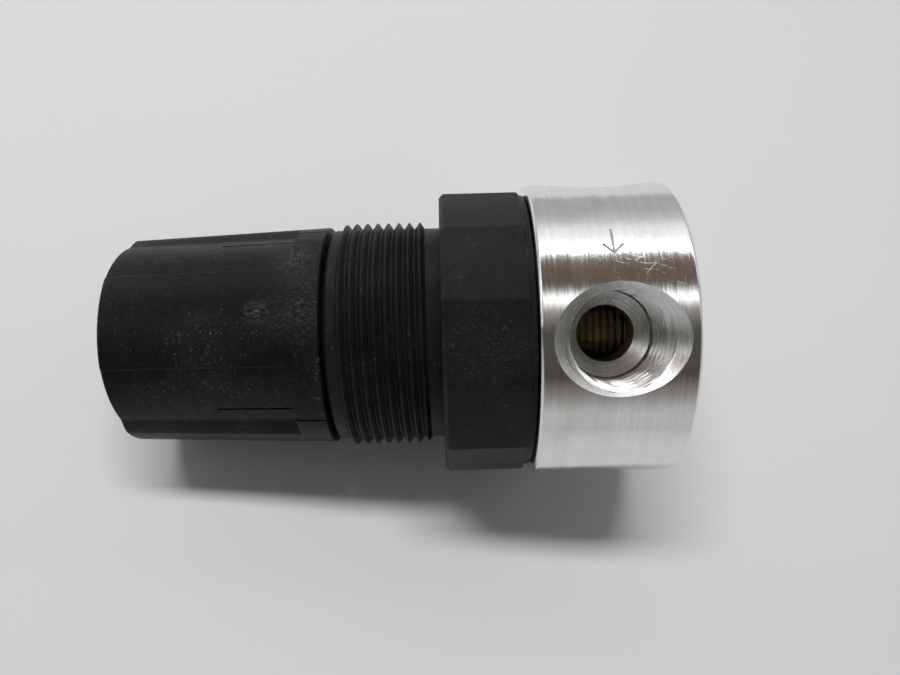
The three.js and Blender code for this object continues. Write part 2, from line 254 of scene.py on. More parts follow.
def helix_tube(name, r, wire, z0, z1, turns, end, n=14, per=40, ground=True):
    """Wound wire with closed ends, as a closed tube."""
    steps = int(per * turns)
    q = 0.75 / turns
    L = (z1 - wire / 2) - (z0 + wire / 2)
    e = wire * end
    pts = []
    for i in range(steps + 1):
        t = i / steps
        if t < q: z = e * (t / q)
        elif t > 1 - q: z = L - e * ((1 - t) / q)
        else:
            w = (t - q) / (1 - 2 * q)
            z = e + (L - 2 * e) * w
        a = t * turns * 2 * math.pi
        pts.append(np.array([r * math.cos(a), r * math.sin(a), z0 + wire / 2 + z]))
    pts = np.array(pts)
    verts, faces = [], []
    for i, p in enumerate(pts):
        d = pts[min(i + 1, steps)] - pts[max(i - 1, 0)]
        d /= np.linalg.norm(d)
        u = np.array([p[0], p[1], 0.0]); u /= np.linalg.norm(u)
        w = np.cross(d, u)
        for k in range(n):
            a = 2 * math.pi * k / n
            verts.append(p + (u * math.cos(a) + w * math.sin(a)) * wire / 2)
    for i in range(steps):
        for k in range(n):
            j = (k + 1) % n
            faces.append((i * n + k, i * n + j, (i + 1) * n + j, (i + 1) * n + k))
    faces.append(tuple(range(n)))
    faces.append(tuple(steps * n + k for k in range(n)))
    ob = make(name, verts, faces)
    outward(ob)
    return ob


# ------------------------------------------------------------------ material helpers
class Mat:
    def __init__(self, name):
        self.m = bpy.data.materials.new(name)
        self.m.use_nodes = True
        self.t = self.m.node_tree
        self.bsdf = self.t.nodes["Principled BSDF"]
        self.tc = self.n("ShaderNodeTexCoord")

    def n(self, kind, **kw):
        x = self.t.nodes.new(kind)
        for k, v in kw.items():
            setattr(x, k, v)
        return x

    def link(self, a, b):
        self.t.links.new(a, b)

    def mapping(self, scale, loc=(0, 0, 0), rot=(0, 0, 0)):
        x = self.n("ShaderNodeMapping")
        x.inputs["Scale"].default_value = scale
        x.inputs["Location"].default_value = loc
        x.inputs["Rotation"].default_value = rot
        self.link(self.tc.outputs["Object"], x.inputs["Vector"])
        return x.outputs["Vector"]

    def noise(self, scale, loc=(0, 0, 0), detail=3.0, rough=0.5, rot=(0, 0, 0), dist=0.0):
        x = self.n("ShaderNodeTexNoise")
        x.inputs["Scale"].default_value = 1.0
        x.inputs["Detail"].default_value = detail
        x.inputs["Roughness"].default_value = rough
        x.inputs["Distortion"].default_value = dist
        self.link(self.mapping(scale, loc, rot), x.inputs["Vector"])
        return x.outputs["Fac"]

    def voronoi(self, scale, loc=(0, 0, 0), feature="F1"):
        x = self.n("ShaderNodeTexVoronoi", feature=feature)
        x.inputs["Scale"].default_value = 1.0
        self.link(self.mapping(scale, loc), x.inputs["Vector"])
        return x

    def ramp(self, fac, stops, interp="LINEAR"):
        x = self.n("ShaderNodeValToRGB")
        x.color_ramp.interpolation = interp
        el = x.color_ramp.elements
        while len(el) > 1:
            el.remove(el[0])
        el[0].position, el[0].color = stops[0][0], self.col(stops[0][1])
        for p, c in stops[1:]:
            e = el.new(p)
            e.color = self.col(c)
        self.link(fac, x.inputs["Fac"])
        return x.outputs["Color"]

    @staticmethod
    def col(c):
        return (c, c, c, 1) if not hasattr(c, "__len__") else (*c[:3], 1)

    def math(self, op, a, b=None, clamp=False):
        x = self.n("ShaderNodeMath", operation=op, use_clamp=clamp)
        for i, v in enumerate((a, b)):
            if v is None:
                continue
            if isinstance(v, (int, float)):
                x.inputs[i].default_value = v
            else:
                self.link(v, x.inputs[i])
        return x.outputs[0]

    def mix(self, fac, a, b, blend="MIX"):
        x = self.n("ShaderNodeMix", data_type="RGBA", blend_type=blend)
        for k, v in ((0, fac), (6, a), (7, b)):
            if isinstance(v, (int, float)):
                x.inputs[k].default_value = v if k == 0 else (v, v, v, 1)
            elif hasattr(v, "__len__"):
                x.inputs[k].default_value = (*v[:3], 1)
            else:
                self.link(v, x.inputs[k])
        return x.outputs[2]

    def bump(self, height, strength, distance, normal=None):
        x = self.n("ShaderNodeBump")
        x.inputs["Strength"].default_value = strength
        x.inputs["Distance"].default_value = distance
        self.link(height, x.inputs["Height"])
        if normal is not None:
            self.link(normal, x.inputs["Normal"])
        return x.outputs["Normal"]

    def set(self, **kw):
        names = {"color": "Base Color", "metal": "Metallic", "rough": "Roughness", "normal": "Normal",
                 "spec": "Specular IOR Level", "aniso": "Anisotropic", "anirot": "Anisotropic Rotation",
                 "tangent": "Tangent", "coat": "Coat Weight", "coat_rough": "Coat Roughness", "sheen": "Sheen Weight"}
        for k, v in kw.items():
            s = self.bsdf.inputs[names[k]]
            if isinstance(v, (int, float)):
                s.default_value = v
            elif hasattr(v, "__len__"):
                s.default_value = (*v[:3], 1)
            else:
                self.link(v, s)
        return self


def aluminium(name, base=0.80, turned=True, axis_z=True, rough=0.2, worn=0.0):
    M = Mat(name)
    fine = M.noise((25, 25, 9000), detail=4, rough=0.7)
    broad = M.noise((12, 12, 1300), (3, 1, 7), detail=3, rough=0.6)
    stain = M.noise((160, 160, 160), (5, 2, 9), detail=5, rough=0.65)
    speck = M.noise((2600, 2600, 2600), (1, 8, 2), detail=2)
    tint = M.ramp(stain, [(0.30, (base * 0.90, base * 0.89, base * 0.87)), (0.62, (base, base, base * 1.005))])
    tone = M.ramp(broad, [(0.25, 0.90), (0.70, 1.0)])
    c = M.mix(1.0, tint, tone, "MULTIPLY")
    r = M.math("MULTIPLY", fine, 0.24 if turned else 0.12)
    r = M.math("ADD", r, rough - (0.12 if turned else 0.06))
    r = M.math("ADD", r, M.math("MULTIPLY", stain, 0.05))
    lean = None
    if turned:
        geo = M.n("ShaderNodeNewGeometry")
        side = M.n("ShaderNodeVectorMath", operation="CROSS_PRODUCT")
        side.inputs[0].default_value = (0, 0, 1)
        M.link(geo.outputs["Normal"], side.inputs[1])
        la = M.noise((30, 30, 4200), (8, 3, 4), detail=2, rough=0.7)
        lb = M.noise((60, 60, 700), (2, 6, 9), detail=2, rough=0.6)
        amt = M.math("ADD", M.math("MULTIPLY", M.math("SUBTRACT", la, 0.5), 0.085), M.math("MULTIPLY", M.math("SUBTRACT", lb, 0.5), 0.020))
        sc = M.n("ShaderNodeVectorMath", operation="SCALE")
        M.link(side.outputs["Vector"], sc.inputs[0])
        M.link(amt, sc.inputs["Scale"])
        ad = M.n("ShaderNodeVectorMath", operation="ADD")
        M.link(geo.outputs["Normal"], ad.inputs[0])
        M.link(sc.outputs["Vector"], ad.inputs[1])
        nz = M.n("ShaderNodeVectorMath", operation="NORMALIZE")
        M.link(ad.outputs["Vector"], nz.inputs[0])
        lean = nz.outputs["Vector"]
        stray = M.ramp(M.noise((26, 26, 7600), (4, 9, 2), detail=2, rough=0.7), [(0.52, 0.0), (0.72, 1.0)])
        r = M.math("ADD", r, M.math("MULTIPLY", stray, 0.10))
    nrm = M.bump(fine, 0.35, 0.000012, lean)
    nrm = M.bump(broad, 0.30, 0.00003, nrm)
    nrm = M.bump(speck, 0.10, 0.00001, nrm)
    if not turned:
        sp = M.n("ShaderNodeSeparateXYZ")
        M.link(M.tc.outputs["Object"], sp.inputs[0])
        dzp = M.math("SUBTRACT", sp.outputs["Z"], 0.0095)
        rad = M.math("SQRT", M.math("ADD", M.math("MULTIPLY", sp.outputs["X"], sp.outputs["X"]), M.math("MULTIPLY", dzp, dzp)))
        cb = M.n("ShaderNodeCombineXYZ")
        M.link(rad, cb.inputs[0])
        M.link(M.math("MULTIPLY", sp.outputs["Y"], 0.6), cb.inputs[1])
        M.link(M.math("MULTIPLY", sp.outputs["X"], 0.05), cb.inputs[2])
        rg = M.n("ShaderNodeTexNoise")
        rg.inputs["Scale"].default_value = 4200
        rg.inputs["Detail"].default_value = 3
        M.link(cb.outputs[0], rg.inputs["Vector"])
        r = M.math("ADD", r, M.math("MULTIPLY", M.math("SUBTRACT", rg.outputs["Fac"], 0.5), 0.26))
        nrm = M.bump(rg.outputs["Fac"], 0.55, 0.00003, nrm)
    if worn > 0:
        hair = None
        for sc, off, k in ((70, 3.1, 24.0), (100, 8.7, 17.0), (52, 5.5, 31.0)):
            f = M.math("MULTIPLY", M.noise((sc, sc, sc * 1.3), (off, off, off), detail=2.0, rough=0.25), k)
            f = M.math("ABSOLUTE", M.math("SUBTRACT", M.math("FRACT", f), 0.5))
            line = M.ramp(f, [(0.0, 1.0), (0.055, 0.0)])
            hair = line if hair is None else M.math("MAXIMUM", hair, line)
        far = M.n("ShaderNodeVectorMath", operation="DISTANCE")
        M.link(M.tc.outputs["Object"], far.inputs[0])
        far.inputs[1].default_value = (0.0092, -0.0182, 0.0062)
        near = M.ramp(M.math("MULTIPLY", far.outputs["Value"], 100.0), [(0.25, 1.0), (0.75, 0.0)])
        patchy = M.ramp(M.noise((520, 520, 520), (3, 3, 5), detail=2), [(0.44, 0.0), (0.62, 1.0)])
        hair = M.math("MULTIPLY", M.math("MULTIPLY", hair, M.math("ADD", M.math("MULTIPLY", near, 0.9), 0.04)), patchy)
        hair = M.math("MULTIPLY", hair, worn)
        r = M.math("ADD", r, M.math("MULTIPLY", hair, 0.28))
        nrm = M.bump(hair, 0.4, 0.00001, nrm)
    M.set(color=c, metal=1.0, rough=M.math("MAXIMUM", r, 0.05), normal=nrm)
    if turned:
        tg = M.n("ShaderNodeTangent", direction_type="RADIAL", axis="Z")
        M.set(aniso=0.75, anirot=0.25, tangent=tg.outputs[0])
    return M


def plastic(name, tone=0.016, rough=0.46, grain=1.0, dust=1.0, spec=0.5, top=0.008, scuffs_and_sheen=()):
    M = Mat(name)
    g1 = M.noise((2300, 2300, 2300), detail=3, rough=0.6)
    g2 = M.noise((520, 520, 520), (4, 3, 1), detail=4, rough=0.6)
    cloud = M.noise((75, 75, 75), (7, 7, 2), detail=5, rough=0.6)
    base = M.ramp(cloud, [(0.32, (tone * 0.85, tone * 0.85, tone * 0.88)), (0.68, (tone * 1.35, tone * 1.33, tone * 1.28))])
    # lint and dust specks of a few sizes, thicker in drifts
    drift = M.ramp(M.noise((110, 110, 110), (2, 9, 4), detail=3), [(0.40, 0.0), (0.66, 1.0)])
    total = None
    for s, cut, thr, off in ((1700, 0.24, 0.74, 3), (820, 0.15, 0.90, 11), (3000, 0.34, 0.72, 23), (4700, 0.36, 0.62, 31)):
        v = M.voronoi((s, s, s), (off, off * 0.7, off * 1.3))
        sep = M.n("ShaderNodeSeparateColor")
        M.link(v.outputs["Color"], sep.inputs["Color"])
        pick = M.math("GREATER_THAN", sep.outputs[0], thr)
        size = M.math("MULTIPLY", M.math("POWER", sep.outputs[1], 2.0), cut)
        dot = M.math("SUBTRACT", size, v.outputs["Distance"])
        dot = M.math("MULTIPLY", dot, 14.0, clamp=True)
        d = M.math("MULTIPLY", M.math("MULTIPLY", pick, dot), M.math("ADD", M.math("MULTIPLY", sep.outputs[2], 0.8), 0.2))
        total = d if total is None else M.math("MAXIMUM", total, d)
    for rot, off in (((0.3, 0.9, 0.2), 5), ((1.2, 0.4, 2.0), 17), ((2.2, 1.4, 0.7), 29)):
        v = M.n("ShaderNodeTexVoronoi", feature="F1")
        v.inputs["Scale"].default_value = 1.0
        M.link(M.mapping((620, 3300, 3300), (off, off * 0.7, off * 1.3), rot), v.inputs["Vector"])
        sep = M.n("ShaderNodeSeparateColor")
        M.link(v.outputs["Color"], sep.inputs["Color"])
        pick = M.math("GREATER_THAN", sep.outputs[0], 0.975)
        dot = M.math("MULTIPLY", M.math("SUBTRACT", 0.24, v.outputs["Distance"]), 9.0, clamp=True)
        d = M.math("MULTIPLY", M.math("MULTIPLY", pick, dot), 0.8)
        total = M.math("MAXIMUM", total, d)
    thick = M.math("MULTIPLY", total, M.math("ADD", M.math("MULTIPLY", drift, 0.75), 0.25))
    thick = M.math("MULTIPLY", thick, 0.60 * dust, clamp=True)
    # irregular fine lint between the specks
    lint = M.ramp(M.noise((2100, 2100, 2100), (6, 1, 8), detail=2, rough=0.75), [(0.58, 0.0), (0.74, 1.0)])
    lint2 = M.ramp(M.noise((1000, 1000, 1000), (2, 5, 8), detail=3, rough=0.8), [(0.60, 0.0), (0.72, 1.0)])
    lint = M.math("MULTIPLY", M.math("ADD", lint, lint2), M.math("ADD", M.math("MULTIPLY", drift, 0.7), 0.3))
    film_and_sheen = M.math("MULTIPLY", M.math("MULTIPLY", drift, g2), 0.012 * dust)
    film_and_sheen = M.math("ADD", film_and_sheen, M.math("MULTIPLY", lint, 0.034 * dust))
    # an even fine film, broken by the moulded grain
    g0 = M.noise((5200, 5200, 5200), (1, 7, 5), detail=1, rough=0.6)
    settle = M.ramp(g0, [(0.36, 0.45), (0.66, 1.75)])
    film_and_sheen = M.math("ADD", film_and_sheen, M.math("MULTIPLY", settle, top))
    # whitish patches round the given points: rubbed wear, and painted highlight (sheen) where a patch stands in for a
    # glossy highlight
    for (px, py, pz), rad, amount in scuffs_and_sheen:
        far = M.n("ShaderNodeVectorMath", operation="DISTANCE")
        M.link(M.tc.outputs["Object"], far.inputs[0])
        far.inputs[1].default_value = (px * MM, py * MM, pz * MM)
        near = M.ramp(M.math("MULTIPLY", far.outputs["Value"], 1.0 / (rad * MM)), [(0.15, 1.0), (1.0, 0.0)])
        rub_and_sheen = M.ramp(M.noise((2700, 2700, 1500), (px, py, 3), detail=3, rough=0.8), [(0.46, 0.10), (0.62, 1.6)])
        film_and_sheen = M.math("ADD", film_and_sheen, M.math("MULTIPLY", M.math("MULTIPLY", near, rub_and_sheen), amount))
    c = M.mix(film_and_sheen, base, (0.80, 0.80, 0.78))
    c = M.mix(thick, c, (0.20, 0.198, 0.165))
    r = M.math("ADD", M.math("MULTIPLY", g2, 0.16), rough - 0.08)
    r = M.math("ADD", r, M.math("MULTIPLY", thick, 0.4))
    nrm = M.bump(g1, 0.30 * grain, 0.00003)
    nrm = M.bump(g2, 0.22 * grain, 0.00004, nrm)
    M.set(color=c, metal=0.0, rough=M.math("MINIMUM", r, 1.0), normal=nrm, spec=spec)
    return M


def metal(name, color, rough=0.3, dark=0.75, scale=400):
    M = Mat(name)
    a = M.noise((scale, scale, scale * 6), detail=4, rough=0.6)
    b = M.noise((90, 90, 90), (3, 5, 1), detail=4)
    c = M.ramp(b, [(0.3, [x * dark for x in color]), (0.7, color)])
    M.set(color=c, metal=1.0, rough=M.math("ADD", M.math("MULTIPLY", a, 0.25), rough - 0.12), normal=M.bump(a, 0.25, 0.00002))
    return M


def soft(name, color, rough=0.7, scale=900):
    M = Mat(name)
    a = M.noise((scale, scale, scale), detail=4, rough=0.6)
    b = M.noise((120, 120, 120), (3, 5, 1), detail=4)
    c = M.ramp(b, [(0.3, [x * 0.7 for x in color]), (0.7, color)])
    M.set(color=c, rough=M.math("ADD", M.math("MULTIPLY", a, 0.2), rough - 0.1), normal=M.bump(a, 0.3, 0.00003))
    return M


# ------------------------------------------------------------------ driving sizes (mm), the same as the solids
BODY_R, BODY_H, NECK_R, NECK_TOP = 20.65, 19.2, 16.6, 24.2
PORT_Z = 9.5
KNOB_AZ = -75.5

# ------------------------------------------------------------------ body
body = lathe("regulator_body", fillet([
    (8.0, 0.0, 0.15), (BODY_R - 0.40, 0.0, 0.18), (BODY_R, 0.40, 0.18), (BODY_R, BODY_H - 0.30, 0.10), (BODY_R - 0.30, BODY_H, 0.10),
    (NECK_R, BODY_H, 0.1), (NECK_R, NECK_TOP - 0.4, 0.1), (NECK_R - 0.4, NECK_TOP, 0.1), (13.6, NECK_TOP, 0.1),
    (13.6, 17.7, 0.3), (2.6, 17.7, 0.1), (2.6, 14.6, 0.0), (6.6, 14.6, 0.1), (6.6, 4.8, 0.1), (8.0, 4.8, 0.1), (8.0, 0.02, 0)], 3), 288)


def port_field(A, d):
    pitch, d0, d1 = 1.411, 11.45, 19.1
    minor = 5.66 + (d - d0) * 0.03125
    ph = (d / pitch - A / (2 * math.pi)) % 1.0
    tri = 1.0 - np.abs(ph - 0.5) * 2.0
    h = np.clip((tri - 0.10) / 0.78, 0, 1) * 0.74
    fade = min(1.0, max(0.0, (d - d0) / 1.3))
    r = minor + h * fade
    if d <= d0:
        t = (d - 10.3) / (d0 - 10.3)
        r = np.full_like(A, 3.80 + (5.66 - 3.80) * max(0.0, t))
    cs = 6.64 + (d - d1)
    return np.maximum(r, cs) if d > d1 - 1.2 else r


ds = [10.3] + list(np.linspace(11.45, 20.2, 100)) + [20.65, 21.4, 22.6]
for az in (-90, 90, 0, 180):
    cut = revolve_field("cut", ds, 128, port_field)
    place(cut, Matrix.Translation((0, 0, PORT_Z)) @ Matrix.Rotation(math.radians(az), 4, "Z") @ Matrix.Rotation(math.pi / 2, 4, "Y"))
    outward(cut)
    boolean(body, cut, "DIFFERENCE")


def drill(az, r, d0, d1, z=PORT_Z, seg=64):
    c = lathe("cut", [(0, d0), (r, d0), (r, d1), (0, d1)], seg)
    place(c, Matrix.Translation((0, 0, z)) @ Matrix.Rotation(math.radians(az), 4, "Z") @ Matrix.Rotation(math.pi / 2, 4, "Y"))
    outward(c)
    return c


boolean(body, drill(-90, 3.80, 4.0, 10.6), "DIFFERENCE")
for x, y, r in ((0, 11.3, 1.9), (11.3, 0, 1.3), (-11.3, 0, 1.3)):
    c = lathe("cut", [(0, PORT_Z), (r, PORT_Z), (r, PORT_Z + 12), (0, PORT_Z + 12)], 40)
    place(c, Matrix.Translation((x, y, 0)))
    boolean(body, c, "DIFFERENCE")

# generic flow arrow, cut a little into the bar beside the inlet
az = math.radians(-55.7)
out, tan = Vector((math.cos(az), math.sin(az), 0)), Vector((math.sin(az), -math.cos(az), 0))
arrow = [(-2.1, 0.16), (1.10, 0.16), (0.10, 1.16), (0.33, 1.39), (1.72, 0), (0.33, -1.39), (0.10, -1.16), (1.10, -0.16), (-2.1, -0.16)]
boolean(body, prism("cut", arrow, BODY_R - 0.16, BODY_R + 1.0, basis(tan, Vector((0, 0, 1)), out, Vector((0, 0, 9.9)))), "DIFFERENCE")


def radial_normals(ob, radius, tol=0.02):
    """Exact outward normals on the turned outside, so cut edges leave no streaks in its gloss."""
    me = ob.data
    n = len(me.loops)
    cur = np.zeros(n * 3, np.float32)
    me.corner_normals.foreach_get("vector", cur)
    cur = cur.reshape(-1, 3).copy()
    co = np.zeros(len(me.vertices) * 3)
    me.vertices.foreach_get("co", co)
    co = co.reshape(-1, 3)
    for p in me.polygons:
        f = p.normal
        if abs(f.z) > 0.02:
            continue
        idx = [me.loops[i].vertex_index for i in p.loop_indices]
        q = co[idx]
        r = np.hypot(q[:, 0], q[:, 1])
        if np.all(np.abs(r - radius * MM) < tol * MM):
            for i, v, rr in zip(p.loop_indices, q, r):
                cur[i] = (v[0] / rr, v[1] / rr, 0)
    me.normals_split_custom_set([tuple(map(float, v)) for v in cur])


smooth(body, 24)
radial_normals(body, BODY_R)
alu = aluminium("turned_aluminium", 0.90, rough=0.125, worn=1.0)
alu_port = aluminium("port_aluminium", 0.86, turned=False, rough=0.26)
alu_etch = aluminium("etched_aluminium", 0.40, turned=False, rough=0.42)
body.data.materials.append(alu.m)
body.data.materials.append(alu_port.m)
body.data.materials.append(alu_etch.m)
for p in body.data.polygons:
    c = p.center / MM
    r = math.hypot(c.x, c.y)
    if r < 20.6 and c.z < 18.2:
        p.material_index = 1
    da = (math.degrees(math.atan2(c.y, c.x)) + 55.7 + 180) % 360 - 180
    if 20.2 < r < 20.64 and abs(da) < 8 and 8.0 < c.z < 11.8 and abs(p.normal.z) < 0.9 and (c.x * p.normal.x + c.y * p.normal.y) / r > 0.9:
        p.material_index = 2
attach(body, "housing")
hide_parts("body")

# ------------------------------------------------------------------ bonnet: collar, panel thread, top
PITCH, CR, RR = 1.489, 15.88, 15.0


def thread_field(A, z):
    # right-hand thread; crest height at azimuth A is z0 + pitch * turns
    z_first, z_last = 33.55, 43.97
    turn = (A + math.radians(72.53)) / (2 * math.pi)
    ph = ((z - 43.952) / PITCH - turn) % 1.0
    tri = np.abs(ph - 0.5) * 2.0             # 1 at the crest
    h = np.clip((tri - 0.10) / 0.80, 0, 1) * (CR - RR)
    lo = min(1.0, max(0.0, (z - 32.75) / 0.55))
    hi = min(1.0, max(0.0, (44.55 - z) / 0.45))
    return RR + h * lo * hi


zs = [29.5] + list(np.linspace(32.6, 44.65, 190)) + [45.4]
bon = revolve_field("regulator_bonnet", zs, 216, thread_field)
upper = lathe("u", fillet([(0, 44.9), (15.0, 44.9, 0), (15.0, 45.60, 0.0), (14.70, 45.9, 0.0), (12.3, 45.9, 0.1), (12.3, 47.2, 0.1), (11.8, 47.6, 0.1), (11.8, 48.6, 0.1), (12.3, 49.0, 0.1), (12.3, 51.6, 0.1), (11.9, 52.0, 0.1), (0, 52.0)], 3), 216)
boolean(bon, upper, "UNION")
lip = lathe("l", fillet([(0, 19.4), (19.3, 19.4, 0.12), (19.3, 20.6, 0), (0, 20.6)], 3), 216)


def dodecagon(r, z, turn=15.0, n=12):
    return [(r * math.cos(math.radians(turn + 360 / n * i)), r * math.sin(math.radians(turn + 360 / n * i)), z) for i in range(n)]


rows = [dodecagon(19.75, 20.1), dodecagon(20.0, 20.4), dodecagon(20.0, 30.45), dodecagon(19.42, 31.0)]
v = [p for row in rows for p in row]
f = [tuple(range(12)), tuple(range(36, 48))]
for i in range(3):
    for k in range(12):
        f.append((i * 12 + k, i * 12 + (k + 1) % 12, (i + 1) * 12 + (k + 1) % 12, (i + 1) * 12 + k))
collar = make("c", v, f)
outward(collar)
bv = collar.modifiers.new("bv", "BEVEL")
bv.width, bv.segments, bv.limit_method, bv.angle_limit = 0.16, 3, "ANGLE", math.radians(10)
dg = bpy.context.evaluated_depsgraph_get()
me = bpy.data.meshes.new_from_object(collar.evaluated_get(dg))
collar.modifiers.clear()
collar.data = me
boolean(collar, lip, "UNION")
boolean(bon, collar, "UNION")
cavity = lathe("cav", [(0, 18.9), (16.9, 18.9), (16.9, 25.9), (11.2, 25.9), (11.2, 48.9), (4.5, 48.9), (4.5, 53), (0, 53)], 144)
boolean(bon, cavity, "DIFFERENCE")
for s in (1, -1):
    boolean(bon, boxm("g", min(s * 9, s * 12.7), max(s * 9, s * 12.7), -1.85, 1.85, 33.0, 48.9), "DIFFERENCE")
boolean(bon, drill(60, 0.8, 9, 22, 29.0, 32), "DIFFERENCE")
smooth(bon, 26)
bonnet_mat = plastic("bonnet_nylon", 0.0050, 0.46, grain=2.6, dust=0.8, spec=0.17, top=0.003)
bon.data.materials.append(bonnet_mat.m)
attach(bon, "housing")
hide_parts("bonnet")

# ------------------------------------------------------------------ knob
def knob_depth(t, z):
    """Flute depth as a share: a small step down from the wide lobe, deepening toward the narrow one."""
    t = np.abs(((t % 180.0) + 270.0) % 180.0 - 90.0)
    step = 0.34 - 0.0057 * (z - 50.3)
    up = np.clip((t - 24.5) / 1.3, 0, 1)
    up = up * up * (3 - 2 * up) * (step + (1 - step) * np.clip((t - 25.8) / 34.2, 0, 1))
    dn = np.clip((72.0 - t) / 10.0, 0, 1)
    dn = dn * dn * (3 - 2 * dn) * 0.35 + dn * 0.65
    return np.minimum(up, dn)


def lobe_r(z): return 15.46 - (z - 46.5) * 0.0395
def floor_r(z): return 14.28 - (z - 50.5) * 0.0255


Z1 = 74.75
RND = 0.42


def knob_field(A, z, inset=0.0):
    t = np.degrees(A) - KNOB_AZ
    d = knob_depth(t, max(z, 50.3))
    if z <= 50.62:
        # plain skirt ring: its top edge is softly rounded
        ring = np.full_like(A, lobe_r(z))
        if z > 50.40:
            k = min(1.0, (z - 50.40) / 0.22)
            ring = ring - (1 - math.sqrt(max(0.0, 1 - k * k))) * 0.22
            step = np.maximum(ring, lobe_r(z) * (1 - d) + floor_r(z) * d)
            return step
        return ring
    r = lobe_r(z) * (1 - d) + floor_r(z) * d
    if z > Z1 - RND:
        k = (z - (Z1 - RND)) / RND
        r = r - RND * (1 - math.sqrt(max(0.0, 1 - k * k)))
    return r


zs = [46.5, 46.56, 46.66, 47.5, 49.0, 50.2, 50.40, 50.46, 50.52, 50.57, 50.60, 50.62, 50.63] + list(np.linspace(50.8, Z1 - RND, 30)) + [Z1 - RND * (1 - math.sin(math.radians(a))) for a in (15, 30, 45, 60, 75, 88)]


def knob_all(A, z):
    r = knob_field(A, z)
    if z < 46.66:
        r = r - (46.66 - z) ** 2 / 0.16 ** 2 * 0.14
    return r


knob = revolve_field("regulator_knob", zs, 720, knob_all)
hollow = lathe("h", fillet([(0, 46), (12.9, 46, 0), (12.9, 47.7, 0.1), (12.65, 47.9, 0.1), (12.65, 48.3, 0.1), (12.9, 48.5, 0.1), (12.9, 52.0, 0.2), (12.4, 53.5, 0.3), (12.0, 72.4, 0.8), (0, 72.4)], 3), 144)
boolean(knob, hollow, "DIFFERENCE")
hub = lathe("hub", fillet([(0, 55.4), (6.6, 55.4, 0.1), (7.0, 55.8, 0.1), (7.2, 73.2), (0, 73.2)], 3), 96)
for s in (45, -45):
    boolean(hub, boxm("w", -12.6, 12.6, -0.6, 0.6, 60.0, 73.0, KNOB_AZ + s), "UNION")
boolean(knob, hub, "UNION")
hexa = [(8.0 / 2 / math.cos(math.pi / 6) * math.sin(math.radians(60 * i)), 8.0 / 2 / math.cos(math.pi / 6) * math.cos(math.radians(60 * i))) for i in range(6)]
boolean(knob, prism("hx", hexa, 55.0, 70.6, Matrix.Identity(4)), "DIFFERENCE")
for s in (1, -1):
    for half in (0, 180):
        a1, a2, am = KNOB_AZ + half + s * 51.6, KNOB_AZ + half + s * 57.0, KNOB_AZ + half + s * 54.3
        boolean(knob, boxm("s", 12.0, 17, -0.17, 0.17, 50.42, 60.8, a1), "DIFFERENCE")
        boolean(knob, boxm("s", 12.0, 17, -0.17, 0.17, 46.0, 50.74, a2), "DIFFERENCE")
        boolean(knob, boxm("s", 12.0, 17, -0.80, 0.80, 50.40, 50.72, am), "DIFFERENCE")
# small raised index pip on the front lobe: a low lens with a sunk middle
az = math.radians(KNOB_AZ + 2.0)
out, tan = Vector((math.cos(az), math.sin(az), 0)), Vector((-math.sin(az), math.cos(az), 0))


def lens(a, b, n=24):
    return [(a * math.cos(2 * math.pi * i / n) * (1 - 0.0 * i), b * math.sin(2 * math.pi * i / n) * abs(math.cos(2 * math.pi * i / n)) ** 0 ) for i in range(n)]


def leaf(a, b, n=12):
    top = [(-a + 2 * a * i / n, b * math.sin(math.pi * i / n)) for i in range(n)]
    bot = [(a - 2 * a * i / n, -b * math.sin(math.pi * i / n)) for i in range(n)]
    return top + bot


rr = lobe_r(54.4)
boolean(knob, prism("p", leaf(2.05, 0.80), rr - 0.6, rr + 0.11, basis(Vector((0, 0, 1)), tan, out, Vector((0, 0, 54.4)))), "UNION")
boolean(knob, prism("p", leaf(1.45, 0.42), rr + 0.0, rr + 0.5, basis(Vector((0, 0, 1)), tan, out, Vector((0, 0, 54.4)))), "DIFFERENCE")
smooth(knob, 24)
# a point on the knob at an angle from the camera, used to place the painted highlight patches
def on_knob(alpha, r, z):
    a = AZ_CAM + math.radians(alpha)
    return (r * math.cos(a), r * math.sin(a), z)


pip = (rr * math.cos(az), rr * math.sin(az), 54.4)
# the pip's patch is rubbed wear; the two patches on the skirt, set by angle from the camera, are painted highlight
# (sheen)
knob_mat = plastic("knob_nylon", 0.0050, 0.42, grain=1.3, dust=1.2, spec=0.12, top=0.0015,
                   scuffs_and_sheen=((pip, 1.9, 0.055), (on_knob(42, 15.3, 49.8), 3.6, 0.040), (on_knob(14, 15.3, 48.8), 5.5, 0.024)))
knob.data.materials.append(knob_mat.m)
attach(knob, "hand_knob")
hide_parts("knob")

# ------------------------------------------------------------------ CAD nodes that stay, with their finishes
brass = metal("brass_turned", (0.62, 0.46, 0.20), 0.30)
brass_dull = metal("brass_oiled", (0.36, 0.31, 0.15), 0.30, dark=0.45)
steel = metal("spring_steel", (0.56, 0.57, 0.58), 0.26)
zinc = metal("zinc_plate", (0.60, 0.61, 0.57), 0.36)
plugm = metal("plug_aluminium", (0.72, 0.73, 0.74), 0.30)
rubber = soft("black_rubber", (0.02, 0.02, 0.021), 0.75)
acetal = soft("natural_acetal", (0.72, 0.70, 0.63), 0.5)
finish = {"valve_cartridge": brass_dull, "valve_seat": brass, "valve_poppet": brass, "valve_disc": rubber, "valve_pin": steel,
          "valve_spring": steel, "bottom_plug": plugm, "plug_o_ring": rubber, "gauge_port_plug": brass, "diaphragm": rubber,
          "slip_ring": acetal, "relief_hub": brass, "diaphragm_plate": zinc, "hub_nut": zinc, "range_spring": steel,
          "adjusting_nut": zinc, "adjusting_screw": steel, "thrust_washer": acetal, "screw_clip": steel}
for n, mt in finish.items():
    ob = frame["nodes"][n]
    ob.data.materials.clear()
    ob.data.materials.append(mt.m)

